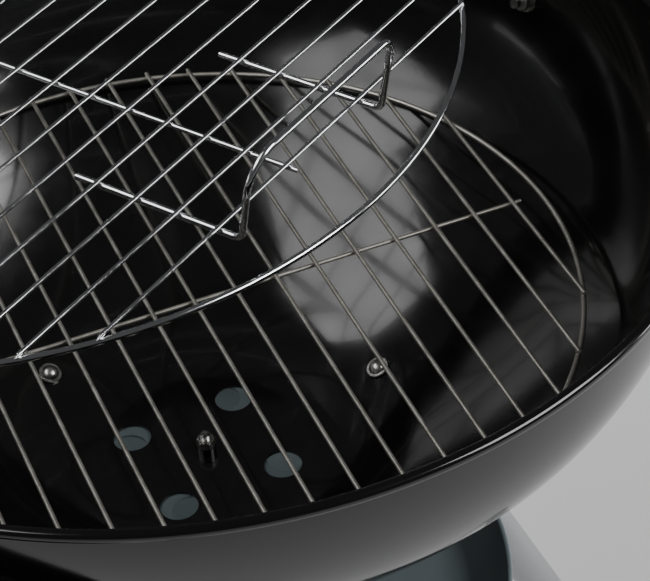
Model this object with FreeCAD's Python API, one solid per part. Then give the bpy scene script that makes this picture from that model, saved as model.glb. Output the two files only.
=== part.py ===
"""Kettle charcoal grill with three legs, two wheels, an ash pan, two grates and a lid hung on its left handle.

Millimetres, +Z up. The handle over the plain leg is on the +X side, and the wheels are on the -X side.
Everything is drawn about the bowl's axis, then moved so that the origin is under the middle of the whole
object, on the ground.
"""
import FreeCAD
import Part
import math
import os

V = FreeCAD.Vector

# --- driving dimensions -------------------------------------------------------------------------------
RIM_Z = 700.0            # height of the centre of the bowl's rolled bead
BEAD_R = 3.2             # radius of the rolled bead
BEAD_RING_R = 282.7      # radius of the bead's centre line
WALL = 1.2               # enamelled sheet of bowl and lid
FIT = 0.05               # radial gap of a running fit
REST_GAP = 0.3           # gap between loose pieces that rest on each other

FLOOR_Z = 482.4          # inside of the bowl's flat floor
BOWL_POINTS = [(60.0, FLOOR_Z), (125.0, 500.0), (203.0, 561.0), (238.0, 597.0), (279.5, RIM_Z)]
LID_HEIGHT = 190.0
LID_POINTS = [(62.0, 0.0), (200.0, 48.0), (262.0, 122.0), (279.5, LID_HEIGHT)]

VENT_HOLE_R = 11.0
VENT_PCD_R = 46.2
VENT_START_DEG = 45.0
DAMPER_REST_DEG = 9.0    # the damper stands a little past fully open
DAMPER_R = 68.0
DAMPER_T = 1.5
LEVER_DEG = 60.0
LEVER_REACH = 168.0
LEVER_W = 18.0

LEG_COUNT = 3
LEG_BOLT_R = 112.5       # distance of each leg screw from the bowl's axis
LEG_R = 12.5
LEG_WALL = 1.2
LEG_SEAT_LEN = 8.0
AXLE_Z = 80.0
AXLE_R = 4.0
WHEEL_R = 80.0
WHEEL_FACE_Y = 287.0
WHEEL_W = 30.0

PAN_R = 173.5
PAN_TOP_Z = 378.0
PAN_DEPTH = 28.0
PAN_FLOOR_R = 150.0
PAN_T = 1.0
PAN_BEAD_R = 1.8

PITCH = 24.0             # spacing of the charcoal grate's rods
COAL_Z = 597.2           # axes of the charcoal grate's rods
COAL_CENTRE = (-9.5, -1.5)
COAL_TURN_DEG = -5.0
COAL_RING_R = 223.0
COAL_RING_WIRE = 1.5
COAL_ROD_WIRE = 1.25
COAL_RODS = 18

COOK_CENTRE = (-56.5, 137.6)
COOK_TURN_DEG = -61.5
COOK_RING_R = 271.5
COOK_RING_WIRE = 1.75
COOK_GRIP_WIRE = 1.9
COOK_CROSS_WIRE = 1.5
COOK_ROD_WIRE = 1.2
COOK_RODS = 18
COOK_PITCH = 25.3
COOK_ROD_SHIFT = 3.9     # the rods are welded a little to one side
COOK_WIRE_SHIFT = -5.9
GRIP_SHIFT = -2.5         # middle of the lifting handles, along the rods
TAIL_OFFSET = 62.3
GRIP_HEIGHT = 49.0
GRIP_LEAN = 10.0

HANDLE_DEG = 16.0        # half the angle between a side handle's two studs
HANDLE_Z = 655.0
HANDLE_REACH = 62.0
HANDLE_WIRE = 4.0
GRIP_R = 12.0
GRIP_LEN = 116.0

LID_TILT_DEG = 20.0      # how far the hung lid swings in under the bowl
LID_HOOK_X = 235.0
LID_HOOK_Z = -16.0

M6 = 3.0
NUT_FLATS = 10.0
NUT_H = 5.0


# --- small tools ----------------------------------------------------------------------------------------
def polar(radius, degrees, z=0.0):
    a = math.radians(degrees)
    return V(radius * math.cos(a), radius * math.sin(a), z)


def cylinder(start, direction, radius, length):
    return Part.makeCylinder(radius, length, start, direction)


def tube(start, direction, outer, inner, length):
    return cylinder(start, direction, outer, length).cut(cylinder(start, direction, inner, length))


def fuse(shapes):
    first, rest = shapes[0], shapes[1:]
    return first.multiFuse(rest).removeSplitter() if rest else first


def turned(shape, degrees):
    copy = shape.copy()
    copy.rotate(V(0, 0, 0), V(0, 0, 1), degrees)
    return copy


def hexagon_prism(start, direction, flats, height):
    corner = flats / math.sqrt(3)
    points = [polar(corner, 60 * i) for i in range(7)]
    prism = Part.Face(Part.makePolygon(points)).extrude(V(0, 0, height))
    prism.Placement = FreeCAD.Placement(start, FreeCAD.Rotation(V(0, 0, 1), direction))
    return prism


def nut(start, direction):
    return hexagon_prism(start, direction, NUT_FLATS, NUT_H).cut(cylinder(start, direction, M6, NUT_H))


def washer(start, direction, outer, height, inner=M6 + 0.2):
    return tube(start, direction, outer, inner, height)


def spin(edges):
    """A solid of revolution about Z from a closed outline in the XZ plane."""
    return Part.Face(Part.Wire(edges)).revolve(V(0, 0, 0), V(0, 0, 1), 360)


def line(a, b):
    return Part.LineSegment(V(a[0], 0, a[1]), V(b[0], 0, b[1])).toShape()


def rings(body, radius):
    """The full circles of one radius on a body."""
    return [e for e in body.Edges if e.Closed and isinstance(e.Curve, Part.Circle)
            and abs(e.Curve.Radius - radius) < 0.01]


def bent_wire(points, bends, radius):
    """A round wire along straight runs joined by tangent arcs."""
    edges = []
    start = points[0]
    for i in range(1, len(points) - 1):
        before = (points[i - 1] - points[i]).normalize()
        after = (points[i + 1] - points[i]).normalize()
        half = before.getAngle(after) / 2
        reach = bends[i - 1] / math.tan(half)
        middle = points[i] + (before + after).normalize() * (bends[i - 1] / math.sin(half) - bends[i - 1])
        entry, leave = points[i] + before * reach, points[i] + after * reach
        edges.append(Part.LineSegment(start, entry).toShape())
        edges.append(Part.Arc(entry, middle, leave).toShape())
        start = leave
    edges.append(Part.LineSegment(start, points[-1]).toShape())
    path = Part.Wire(edges)
    ring = Part.Wire(Part.makeCircle(radius, points[0], points[1] - points[0]))
    return path.makePipeShell([ring], True, False)


# --- the sheet shells of bowl and lid ---------------------------------------------------------------------
class Arcs:
    """A profile of tangent arcs that starts flat, in radius and height."""

    def __init__(self, points):
        self.parts = []
        heading = 0.0
        for a, b in zip(points, points[1:]):
            chord = math.atan2(b[1] - a[1], b[0] - a[0])
            radius = math.dist(a, b) / (2 * math.sin(chord - heading))
            centre = (a[0] - radius * math.sin(heading), a[1] + radius * math.cos(heading))
            self.parts.append((centre, radius, heading, 2 * chord - heading))
            heading = 2 * chord - heading
        self.start = points[0]
        self.end = points[-1]

    def edges(self, offset=0.0):
        made = []
        for centre, radius, low, high in self.parts:
            angles = (low, (low + high) / 2, high)
            at = [V(centre[0] + (radius + offset) * math.sin(t), 0, centre[1] - (radius + offset) * math.cos(t))
                  for t in angles]
            made.append(Part.Arc(*at).toShape())
        return made

    def at_height(self, z):
        """Radius and outward slope angle of the profile at a height."""
        for centre, radius, low, high in self.parts:
            cosine = (centre[1] - z) / radius
            if -1 <= cosine <= 1 and low - 1e-9 <= math.acos(cosine) <= high + 1e-9:
                return centre[0] + radius * math.sin(math.acos(cosine)), math.acos(cosine)
        raise ValueError(z)

    def at_radius(self, r):
        """Height and slope angle of the profile at a radius."""
        for centre, radius, low, high in self.parts:
            sine = (r - centre[0]) / radius
            if -1 <= sine <= 1 and low - 1e-9 <= math.asin(sine) <= high + 1e-9:
                return centre[1] - radius * math.cos(math.asin(sine)), math.asin(sine)
        raise ValueError(r)


BOWL_PROFILE = Arcs(BOWL_POINTS)
LID_PROFILE = Arcs(LID_POINTS)


def shell(profile):
    """Sheet of even thickness outside the profile, closed by its rolled bead."""
    inner, outer = profile.edges(), profile.edges(WALL)
    floor_r, floor_z = profile.start
    first_out, last_out = outer[0].Vertexes[0].Point, outer[-1].Vertexes[-1].Point
    outline = [line((0, floor_z), (floor_r, floor_z))] + inner
    outline.append(line(profile.end, (last_out.x, last_out.z)))
    outline += list(reversed(outer))
    outline.append(line((first_out.x, first_out.z), (0, first_out.z)))
    outline.append(line((0, first_out.z), (0, floor_z)))
    sheet = spin(Part.__sortEdges__(outline))
    bead = Part.makeTorus(BEAD_RING_R, BEAD_R, V(0, 0, profile.end[1]), V(0, 0, 1))
    return sheet.fuse(bead).removeSplitter()


def filled(profile, offset):
    """The solid inside the profile, moved outwards by offset."""
    edges = profile.edges(offset)
    low, high = edges[0].Vertexes[0].Point, edges[-1].Vertexes[-1].Point
    outline = [line((0, low.z), (low.x, low.z))] + edges
    outline += [line((high.x, high.z), (0, high.z)), line((0, high.z), (0, low.z))]
    return spin(Part.__sortEdges__(outline))


def holes(radius, pcd_r, start_deg, z, height, count=4):
    return [cylinder(polar(pcd_r, start_deg + i * 360 / count, z), V(0, 0, 1), radius, height)
            for i in range(count)]


# --- places that several pieces share ---------------------------------------------------------------------
LEG_WALL_Z, LEG_SLOPE = BOWL_PROFILE.at_radius(LEG_BOLT_R)
LEG_DOWN = V(math.sin(LEG_SLOPE), 0, -math.cos(LEG_SLOPE))
LEG_IN = V(-math.cos(LEG_SLOPE), 0, -math.sin(LEG_SLOPE))
LEG_TOP = V(LEG_BOLT_R, 0, LEG_WALL_Z)
LEG_DEGS = [0.0, 120.0, 240.0]


def leg_point(z):
    """The point of the unturned leg's axis at a height."""
    return LEG_TOP + LEG_DOWN * ((LEG_WALL_Z - z) / math.cos(LEG_SLOPE))


HANDLE_WALL_R, HANDLE_SLOPE = BOWL_PROFILE.at_height(HANDLE_Z)
HANDLE_OUT = V(math.sin(HANDLE_SLOPE), 0, -math.cos(HANDLE_SLOPE))
HANDLE_FOOT = V(HANDLE_WALL_R, 0, HANDLE_Z)
BAR_POINT = turned(Part.Vertex(HANDLE_FOOT + HANDLE_OUT * HANDLE_REACH), HANDLE_DEG).Point
BAR_X, BAR_Z = BAR_POINT.x, BAR_POINT.z


# --- bowl and damper ----------------------------------------------------------------------------------------
def bowl():
    body = shell(BOWL_PROFILE)
    cutters = holes(VENT_HOLE_R, VENT_PCD_R, VENT_START_DEG, FLOOR_Z - 5, 10)
    cutters.append(cylinder(V(0, 0, FLOOR_Z - 5), V(0, 0, 1), M6 + 0.2, 10))
    for degrees in LEG_DEGS:
        cutters.append(turned(cylinder(LEG_TOP - LEG_DOWN * 5, LEG_DOWN, M6 + 0.2, 10), degrees))
    for degrees in handle_degs():
        cutters.append(turned(cylinder(HANDLE_FOOT - HANDLE_OUT * 5, HANDLE_OUT, M6 + 0.2, 10), degrees))
    return body.cut(cutters)


DAMPER_TOP = FLOOR_Z - WALL - REST_GAP


def damper():
    z = DAMPER_TOP - DAMPER_T
    disc = cylinder(V(0, 0, z), V(0, 0, 1), DAMPER_R, DAMPER_T)
    arm = Part.makeBox(LEVER_REACH - DAMPER_R + 12, LEVER_W, DAMPER_T, V(DAMPER_R - 12, -LEVER_W / 2, z))
    tab_height = 22.0
    tab = Part.makeBox(DAMPER_T, LEVER_W, tab_height, V(LEVER_REACH - DAMPER_T, -LEVER_W / 2,
                                                        z - tab_height + DAMPER_T))
    body = fuse([disc, turned(arm, LEVER_DEG), turned(tab, LEVER_DEG)])
    cutters = holes(VENT_HOLE_R, VENT_PCD_R, VENT_START_DEG + DAMPER_REST_DEG, z - 1, DAMPER_T + 2)
    cutters.append(cylinder(V(0, 0, z - 1), V(0, 0, 1), M6 + FIT, DAMPER_T + 2))
    return body.cut(cutters)


DAMPER_WASHER_T = 1.2
PIVOT_WASHER_R = 9.0
SPACER_R = 5.5
SPACER_H = 4.8


def damper_bolt():
    under = DAMPER_TOP - DAMPER_T - 0.1 - DAMPER_WASHER_T
    head_height = 4.0
    tip = FLOOR_Z + SPACER_H + NUT_H + 4.4
    head = hexagon_prism(V(0, 0, under - head_height), V(0, 0, 1), NUT_FLATS, head_height)
    return fuse([head, cylinder(V(0, 0, under), V(0, 0, 1), M6, tip - under)])


def damper_washer():
    under = DAMPER_TOP - DAMPER_T - 0.1 - DAMPER_WASHER_T
    return washer(V(0, 0, under), V(0, 0, 1), PIVOT_WASHER_R, DAMPER_WASHER_T)


def damper_spacer():
    return washer(V(0, 0, FLOOR_Z), V(0, 0, 1), SPACER_R, SPACER_H)


def damper_nut():
    return nut(V(0, 0, FLOOR_Z + SPACER_H), V(0, 0, 1))


# --- legs -----------------------------------------------------------------------------------------------------
SCREW_WASHER_R = 6.9
SCREW_WASHER_T = 1.4
WASHER_LIFT = 0.25       # a flat washer on the curved wall touches with its edge
PLAIN_LEG_END_Z = 9.0
WHEEL_LEG_END_Z = 62.0
PLUG_LEN = 26.0
SEAT_R = 17.0


def leg_tube(end_z):
    start = LEG_TOP + LEG_DOWN * (WALL + LEG_SEAT_LEN)
    length = (start.z - end_z) / math.cos(LEG_SLOPE)
    return tube(start, LEG_DOWN, LEG_R, LEG_R - LEG_WALL, length)


def wheel_leg(degrees):
    centre = leg_point(AXLE_Z)
    body = turned(leg_tube(WHEEL_LEG_END_Z), degrees)
    hub = turned(Part.Vertex(centre), degrees).Point
    bore = cylinder(V(hub.x, hub.y - 40, AXLE_Z), V(0, 1, 0), AXLE_R + FIT, 80)
    return body.cut(bore)


def leg_seats():
    cup = cylinder(LEG_TOP, LEG_DOWN, SEAT_R, WALL + LEG_SEAT_LEN)
    cup = cup.cut(cylinder(LEG_TOP, LEG_DOWN, M6 + 0.2, WALL + LEG_SEAT_LEN))
    cup = cup.cut(filled(BOWL_PROFILE, WALL))
    return [turned(cup, degrees) for degrees in LEG_DEGS]


def leg_plugs():
    start = LEG_TOP + LEG_DOWN * (WALL + LEG_SEAT_LEN)
    plug = tube(start, LEG_DOWN, LEG_R - LEG_WALL, M6, PLUG_LEN)
    return [turned(plug, degrees) for degrees in LEG_DEGS]


def leg_screws():
    lift = WASHER_LIFT + SCREW_WASHER_T
    start = LEG_TOP - LEG_DOWN * lift
    shank = cylinder(start, LEG_DOWN, M6, lift + WALL + LEG_SEAT_LEN + PLUG_LEN - 4)
    dome_r, dome_h = 5.3, 3.4
    ball_r = (dome_r ** 2 + dome_h ** 2) / (2 * dome_h)
    ball = Part.makeSphere(ball_r, start + LEG_DOWN * (ball_r - dome_h))
    head = ball.common(cylinder(start, LEG_DOWN * -1, dome_r + 1, dome_h + 1))
    screw = fuse([shank, head])
    return [turned(screw, degrees) for degrees in LEG_DEGS]


def leg_screw_washers():
    start = LEG_TOP - LEG_DOWN * (WASHER_LIFT + SCREW_WASHER_T)
    ring = washer(start, LEG_DOWN, SCREW_WASHER_R, SCREW_WASHER_T)
    return [turned(ring, degrees) for degrees in LEG_DEGS]


def foot_cap():
    length = 42.0
    bottom = leg_point(PLAIN_LEG_END_Z)
    sleeve = cylinder(bottom - LEG_DOWN * (length - 20), LEG_DOWN, LEG_R + 3, length)
    sleeve = sleeve.cut(cylinder(bottom - LEG_DOWN * length, LEG_DOWN, LEG_R, length))
    below = Part.makeBox(200, 200, 100, V(bottom.x - 100, -100, -100))
    return sleeve.cut(below)


def end_plugs():
    bottom = leg_point(WHEEL_LEG_END_Z)
    stem = cylinder(bottom - LEG_DOWN * 9, LEG_DOWN, LEG_R - LEG_WALL, 9)
    lip = cylinder(bottom, LEG_DOWN, LEG_R, 2.5)
    plug = fuse([stem, lip])
    return [turned(plug, degrees) for degrees in LEG_DEGS[1:]]


# --- axle and wheels --------------------------------------------------------------------------------------------
AXLE_X = turned(Part.Vertex(leg_point(AXLE_Z)), LEG_DEGS[1]).Point.x
HUB_HALF = WHEEL_W / 2 + 2.5
WHEEL_MID_Y = WHEEL_FACE_Y + WHEEL_W / 2
AXLE_HALF = WHEEL_MID_Y + HUB_HALF + 5.0
HUB_R = 15.0
RIM_IN_R, RIM_OUT_R = 56.0, 65.0
RIM_HALF = 12.0
WEB_HALF = 2.5
SPOKES = 5


def axle():
    return cylinder(V(AXLE_X, -AXLE_HALF, AXLE_Z), V(0, 1, 0), AXLE_R, 2 * AXLE_HALF)


def wheel(side):
    def disc(outer, inner, half):
        start = V(AXLE_X, side * WHEEL_MID_Y - half, AXLE_Z)
        return tube(start, V(0, 1, 0), outer, inner, 2 * half)

    web = disc(RIM_IN_R + 1, HUB_R - 1, WEB_HALF)
    windows = []
    for i in range(SPOKES):
        a = math.radians(90 + i * 360 / SPOKES)
        reach = (RIM_IN_R + HUB_R) / 2
        start = V(AXLE_X + reach * math.cos(a), side * WHEEL_MID_Y - 10, AXLE_Z + reach * math.sin(a))
        windows.append(cylinder(start, V(0, 1, 0), 14.0, 20))
    rim, hub = disc(RIM_OUT_R, RIM_IN_R, RIM_HALF), disc(HUB_R, AXLE_R + FIT, HUB_HALF)
    return fuse([web.cut(windows), rim, hub])


def tyre(side):
    start = V(AXLE_X, side * WHEEL_MID_Y - WHEEL_W / 2, AXLE_Z)
    body = tube(start, V(0, 1, 0), WHEEL_R, RIM_OUT_R, WHEEL_W)
    return body.makeFillet(6.0, rings(body, WHEEL_R))


def axle_spacers():
    made = []
    for side in (1, -1):
        near = 274.5
        far = WHEEL_MID_Y - HUB_HALF - 0.3
        start = V(AXLE_X, min(side * near, side * far), AXLE_Z)
        made.append(tube(start, V(0, 1, 0), 7.0, AXLE_R, far - near))
    return made


def hub_caps():
    made = []
    for side in (1, -1):
        face = WHEEL_MID_Y + HUB_HALF + 0.3
        direction = V(0, side, 0)
        start = V(AXLE_X, side * face, AXLE_Z)
        body = cylinder(start, direction, 9.0, 7.5)
        rounded = body.makeFillet(3.0, [e for e in rings(body, 9.0)
                                        if abs(e.CenterOfMass.y) > face + 1])
        made.append(rounded.cut(cylinder(V(AXLE_X, 0, AXLE_Z), direction, AXLE_R, AXLE_HALF)))
    return made


# --- ash pan ----------------------------------------------------------------------------------------------------
PAN_FLOOR_Z = PAN_TOP_Z - PAN_DEPTH
PAN_NOTCH_IN = 140.0
PAN_NOTCH_HALF = 17.0
CLIP_W = 20.0
CLIP_T = 2.0


def ash_pan():
    bead_z = PAN_TOP_Z - PAN_BEAD_R
    edge_r = PAN_R - PAN_BEAD_R
    outline = [(0, PAN_FLOOR_Z), (PAN_FLOOR_R, PAN_FLOOR_Z), (edge_r, bead_z), (edge_r - PAN_T, bead_z),
               (PAN_FLOOR_R - PAN_T * 0.6, PAN_FLOOR_Z + PAN_T), (0, PAN_FLOOR_Z + PAN_T)]
    dish = spin([line(a, b) for a, b in zip(outline, outline[1:] + outline[:1])])
    rolled = Part.makeTorus(edge_r, PAN_BEAD_R, V(0, 0, bead_z), V(0, 0, 1))
    dish = dish.fuse(rolled)
    cutters = []
    for degrees in LEG_DEGS:
        centre = PAN_NOTCH_IN + PAN_NOTCH_HALF
        slot = cylinder(V(centre, 0, PAN_FLOOR_Z - 5), V(0, 0, 1), PAN_NOTCH_HALF, PAN_DEPTH + 10)
        mouth = Part.makeBox(60, 2 * PAN_NOTCH_HALF, PAN_DEPTH + 10,
                             V(centre, -PAN_NOTCH_HALF, PAN_FLOOR_Z - 5))
        cutters.append(turned(slot.fuse(mouth), degrees))
    return dish.cut(cutters)


def clip_place():
    """Where the clip's plate starts on the leg's inner side."""
    top = leg_point(PAN_FLOOR_Z + 4.5)
    return top + LEG_IN * LEG_R


def pan_clips():
    start = clip_place()
    placement = FreeCAD.Placement(start, FreeCAD.Rotation(LEG_DOWN, V(0, 1, 0), LEG_IN, "XZY"))
    plate = Part.makeBox(30.0, CLIP_W, CLIP_T, V(0, -CLIP_W / 2, 0))
    plate.Placement = placement
    ledge_in = 122.0
    ledge = Part.makeBox(start.x - ledge_in, CLIP_W, CLIP_T,
                         V(ledge_in, -CLIP_W / 2, PAN_FLOOR_Z - REST_GAP - CLIP_T))
    outer_leg = cylinder(LEG_TOP, LEG_DOWN, LEG_R, 500)
    clip = fuse([plate, ledge]).cut(outer_leg)
    clip = clip.cut(cylinder(clip_screw_start() - LEG_IN * 10, LEG_IN, 2.0, 30))
    return [turned(clip, degrees) for degrees in LEG_DEGS]


def clip_screw_start():
    return clip_place() + LEG_DOWN * 17 + LEG_IN * CLIP_T


def clip_screws():
    start = clip_screw_start()
    head = cylinder(start, LEG_IN, 4.0, 2.4)
    shank = cylinder(start - LEG_IN * 7, LEG_IN, 2.0, 7)
    screw = fuse([head, shank])
    return [turned(screw, degrees) for degrees in LEG_DEGS]


def drilled(leg, degrees):
    """The clip screw's hole in a leg's inner side."""
    hole = cylinder(clip_screw_start() - LEG_IN * 8, LEG_IN, 2.0, 12)
    return leg.cut(turned(hole, degrees))


# --- grates -------------------------------------------------------------------------------------------------------
def placed(shapes, centre, degrees):
    made = []
    for shape in shapes:
        copy = turned(shape, degrees)
        copy.translate(V(centre[0], centre[1], 0))
        made.append(copy)
    return made


def rods(count, pitch, shift, ring_r, overhang, radius, z):
    """Rods along Y, spread along X, each as long as its chord of the ring."""
    made = []
    for i in range(count):
        x = (i - (count - 1) / 2) * pitch + shift
        half = math.sqrt(ring_r ** 2 - x ** 2) + overhang
        made.append(cylinder(V(x, -half, z), V(0, 1, 0), radius, 2 * half))
    return made


COAL_RING_Z = COAL_Z - COAL_RING_WIRE - COAL_ROD_WIRE
COAL_OVERHANG = 2.0


def coal_grate_ring():
    ring = Part.makeTorus(COAL_RING_R, COAL_RING_WIRE, V(0, 0, COAL_RING_Z), V(0, 0, 1))
    return placed([ring], COAL_CENTRE, COAL_TURN_DEG)


def coal_grate_rods():
    made = rods(COAL_RODS, PITCH, 0.0, COAL_RING_R, COAL_OVERHANG, COAL_ROD_WIRE, COAL_Z)
    return placed(made, COAL_CENTRE, COAL_TURN_DEG)


def coal_grate_cross_wire():
    half = (COAL_RODS - 1) / 2 * PITCH + 6
    wire = cylinder(V(-half, 0, COAL_Z - 2 * COAL_ROD_WIRE), V(1, 0, 0), COAL_ROD_WIRE, 2 * half)
    return placed([wire], COAL_CENTRE, COAL_TURN_DEG)


COOK_Z = RIM_Z + BEAD_R + REST_GAP + 2 * COOK_GRIP_WIRE + COOK_ROD_WIRE
COOK_RING_Z = COOK_Z - COOK_ROD_WIRE - COOK_RING_WIRE
TAIL_Z = COOK_Z - COOK_ROD_WIRE - COOK_GRIP_WIRE
TAIL_IN = 128.0          # where a handle wire's tail starts, from the grate's middle
TAIL_OUT = 232.0         # where it bends up, just past the last rod


def cook_grate_ring():
    ring = Part.makeTorus(COOK_RING_R, COOK_RING_WIRE, V(0, 0, COOK_RING_Z), V(0, 0, 1))
    return placed([ring], COOK_CENTRE, COOK_TURN_DEG)


def cook_grate_rods():
    made = rods(COOK_RODS, COOK_PITCH, COOK_ROD_SHIFT, COOK_RING_R, 0.0, COOK_ROD_WIRE, COOK_Z)
    return placed(made, COOK_CENTRE, COOK_TURN_DEG)


def cook_grate_cross_wire():
    outer = (COOK_RODS - 1) / 2 * COOK_PITCH
    wire_z = COOK_Z - COOK_ROD_WIRE - COOK_CROSS_WIRE
    wire = cylinder(V(COOK_ROD_SHIFT - outer - 6, COOK_WIRE_SHIFT, wire_z), V(1, 0, 0), COOK_CROSS_WIRE,
                    2 * outer + 12)
    return placed([wire], COOK_CENTRE, COOK_TURN_DEG)


def cook_grate_handles():
    made = []
    low, high, top = GRIP_SHIFT - TAIL_OFFSET, GRIP_SHIFT + TAIL_OFFSET, TAIL_Z + GRIP_HEIGHT
    for side in (1, -1):
        bend = TAIL_OUT if side > 0 else TAIL_OUT - 2 * COOK_ROD_SHIFT
        points = [V(side * TAIL_IN, low, TAIL_Z), V(side * bend, low, TAIL_Z),
                  V(side * (bend + GRIP_LEAN), low, top), V(side * (bend + GRIP_LEAN), high, top),
                  V(side * bend, high, TAIL_Z), V(side * TAIL_IN, high, TAIL_Z)]
        made.append(bent_wire(points, [6.0, 20.0, 11.0, 6.0], COOK_GRIP_WIRE))
    return placed(made, COOK_CENTRE, COOK_TURN_DEG)


# --- side handles ---------------------------------------------------------------------------------------------------
PAD_R = 12.0
PAD_T = 2.5
STUD_IN = 14.0


def handle_degs():
    return [side + sign * HANDLE_DEG for side in (0, 180) for sign in (1, -1)]


def side_handle(degrees):
    """A bent rod with a welded pad and a threaded stud at each foot."""
    foot = HANDLE_FOOT + HANDLE_OUT * (WALL + 0.3)
    out = HANDLE_FOOT + HANDLE_OUT * HANDLE_REACH
    points, feet = [], []
    for sign in (1, -1):
        pad = cylinder(foot, HANDLE_OUT, PAD_R, PAD_T)
        stud = cylinder(foot - HANDLE_OUT * STUD_IN, HANDLE_OUT, M6, STUD_IN + 1)
        feet += [turned(pad, sign * HANDLE_DEG), turned(stud, sign * HANDLE_DEG)]
        ends = [turned(Part.Vertex(p), sign * HANDLE_DEG).Point for p in (foot + HANDLE_OUT, out)]
        points += ends if sign > 0 else ends[::-1]
    rod = bent_wire(points, [18.0, 18.0], HANDLE_WIRE)
    return turned(fuse([rod] + feet), degrees)


def side_grip(degrees):
    start = V(BAR_X, -GRIP_LEN / 2, BAR_Z)
    grip = tube(start, V(0, 1, 0), GRIP_R, HANDLE_WIRE + FIT, GRIP_LEN)
    return turned(grip.makeFillet(4.0, rings(grip, GRIP_R)), degrees)


HANDLE_WASHER_T = 1.4


def handle_washers():
    start = HANDLE_FOOT - HANDLE_OUT * (WASHER_LIFT + HANDLE_WASHER_T)
    ring = washer(start, HANDLE_OUT, SCREW_WASHER_R, HANDLE_WASHER_T)
    return [turned(ring, degrees) for degrees in handle_degs()]


def handle_nuts():
    start = HANDLE_FOOT - HANDLE_OUT * (WASHER_LIFT + HANDLE_WASHER_T + NUT_H)
    body = nut(start, HANDLE_OUT)
    return [turned(body, degrees) for degrees in handle_degs()]


# --- lid, drawn with its rim down and then hung up --------------------------------------------------------------------
LID_UP = V(-math.sin(math.radians(LID_TILT_DEG)), 0, math.cos(math.radians(LID_TILT_DEG)))
LID_OUT = V(-math.cos(math.radians(LID_TILT_DEG)), 0, -math.sin(math.radians(LID_TILT_DEG)))
LID_PLACE = V(-BAR_X, 0, BAR_Z) - LID_UP * LID_HOOK_X - LID_OUT * LID_HOOK_Z
LID_TOP = LID_HEIGHT + WALL
LID_VENT_R = 8.0
LID_VENT_PCD_R = 33.0
LID_DAMPER_R = 50.0
LID_DAMPER_T = 1.2
RIVET_R = 3.0
LID_STUD_Y = 80.0
LID_GRIP_RISE = 46.0


def hung(shape):
    copy = shape.copy()
    place = FreeCAD.Placement(LID_PLACE, FreeCAD.Rotation(LID_UP, V(0, 1, 0), LID_OUT, "XZY"))
    copy.Placement = place.multiply(copy.Placement)
    return copy


def lid_stud_foot():
    """Where the lid handle's stud meets the dome, and the dome's outward direction there."""
    depth, slope = LID_PROFILE.at_radius(LID_STUD_Y)
    return V(0, LID_STUD_Y, LID_HEIGHT - depth), V(0, math.sin(slope), math.cos(slope))


def mirror_y(shape):
    return shape.mirror(V(0, 0, 0), V(0, 1, 0))


def lid():
    body = shell(LID_PROFILE).mirror(V(0, 0, LID_HEIGHT / 2), V(0, 0, 1))
    cutters = holes(LID_VENT_R, LID_VENT_PCD_R, 0, LID_HEIGHT - 5, 12)
    cutters.append(cylinder(V(0, 0, LID_HEIGHT - 5), V(0, 0, 1), RIVET_R, 12))
    foot, _ = lid_stud_foot()
    hole = cylinder(foot - V(0, 0, 10), V(0, 0, 1), M6 + 0.2, 20)
    cutters += [hole, mirror_y(hole)]
    return hung(body.cut(cutters))


def lid_hook():
    """A strip welded inside the dome that passes over the grip of the side handle."""
    half_w, thick, gap = 13.0, 2.0, 0.4
    inner = GRIP_R + gap
    saddle = tube(V(LID_HOOK_X, -half_w, LID_HOOK_Z), V(0, 1, 0), inner + thick, inner, 2 * half_w)
    keep = Part.makeBox(60, 2 * half_w, 80, V(LID_HOOK_X + 2, -half_w, LID_HOOK_Z - 40))
    over = saddle.common(keep)
    shank_z = LID_HOOK_Z + inner
    wall_r, _ = LID_PROFILE.at_height(LID_HEIGHT - 30)
    shank = Part.makeBox(thick + 8, 2 * half_w, thick, V(LID_HOOK_X - 6, -half_w, shank_z))
    reach_start = V(LID_HOOK_X - 6, -half_w, shank_z)
    arm_len = 30 - shank_z
    arm = Part.makeBox(thick, 2 * half_w, arm_len, reach_start)
    foot = Part.makeBox(wall_r - reach_start.x + 12, 2 * half_w, thick,
                        V(reach_start.x, -half_w, 30 - thick))
    strip = fuse([over, shank, arm, foot])
    dome = filled(LID_PROFILE, 0.0).mirror(V(0, 0, LID_HEIGHT / 2), V(0, 0, 1))
    below = Part.makeBox(800, 800, 100, V(-400, -400, -100))
    return hung(strip.common(dome.fuse(below)))


def lid_damper():
    z = LID_TOP + REST_GAP
    disc = cylinder(V(0, 0, z), V(0, 0, 1), LID_DAMPER_R, LID_DAMPER_T)
    tab = Part.makeBox(14, LID_DAMPER_T, 14, V(LID_DAMPER_R - 18, -LID_DAMPER_T / 2, z))
    cutters = holes(LID_VENT_R, LID_VENT_PCD_R, 0, z - 1, LID_DAMPER_T + 2)
    cutters.append(cylinder(V(0, 0, z - 1), V(0, 0, 1), RIVET_R + FIT, LID_DAMPER_T + 2))
    return hung(disc.cut(cutters).fuse(turned(tab, 45)))


def lid_rivet():
    low = cylinder(V(0, 0, LID_HEIGHT - 1.5), V(0, 0, 1), 6.0, 1.5)
    top = LID_TOP + REST_GAP + LID_DAMPER_T + 0.1
    stem = cylinder(V(0, 0, LID_HEIGHT - 1), V(0, 0, 1), RIVET_R, top - LID_HEIGHT + 2)
    head = cylinder(V(0, 0, top), V(0, 0, 1), 6.5, 2.0)
    return hung(fuse([low, stem, head]))


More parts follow.
